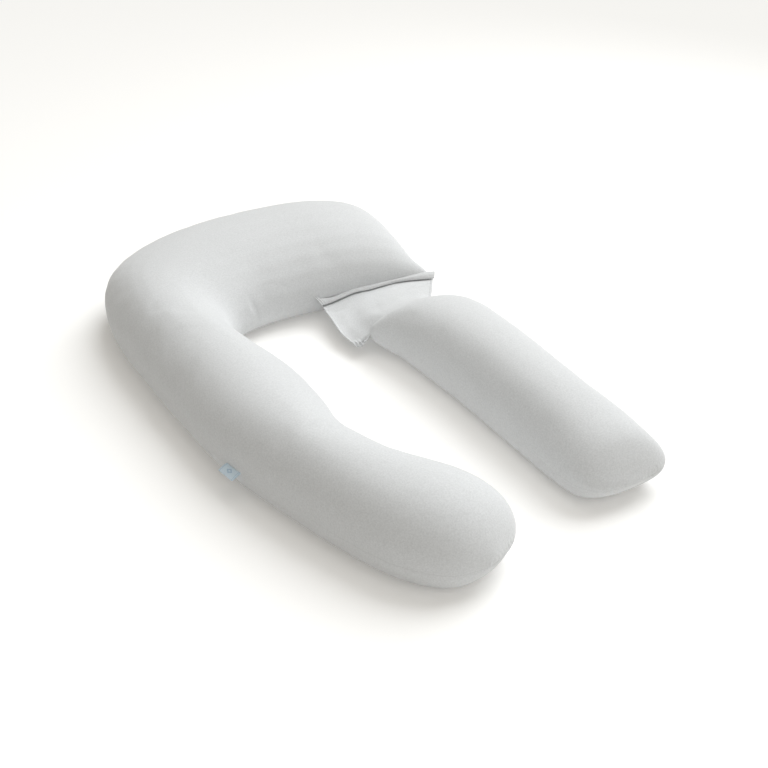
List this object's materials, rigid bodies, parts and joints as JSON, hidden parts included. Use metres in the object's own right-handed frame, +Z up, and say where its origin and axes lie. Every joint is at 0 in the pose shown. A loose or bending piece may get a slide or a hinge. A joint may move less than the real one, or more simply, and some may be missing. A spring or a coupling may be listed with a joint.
{
  "type": "body pillow",
  "caption": "U-shaped body pillow lying flat: filled head bar and curved side in one, and a straight filled side arm joined by a flat cloth panel.",
  "frame": {"origin": "on the surface that the pillow rests on, under the centre of the overall box", "axes": "+Z up, +Y towards the head bar, +X towards the side arm"},
  "size_m": [0.8248, 1.4294, 0.1878],
  "materials": {
    "cover": "soft brushed jersey, matt",
    "panel_cloth": "soft brushed jersey, stitched flat",
    "label_cloth": "smooth woven tape"
  },
  "bodies": {
    "root": {"main_pillow": "cover", "side_arm": "cover", "connector_panel": "panel_cloth", "zip_placket": "panel_cloth", "side_label": "label_cloth"}
  },
  "joints": []
}
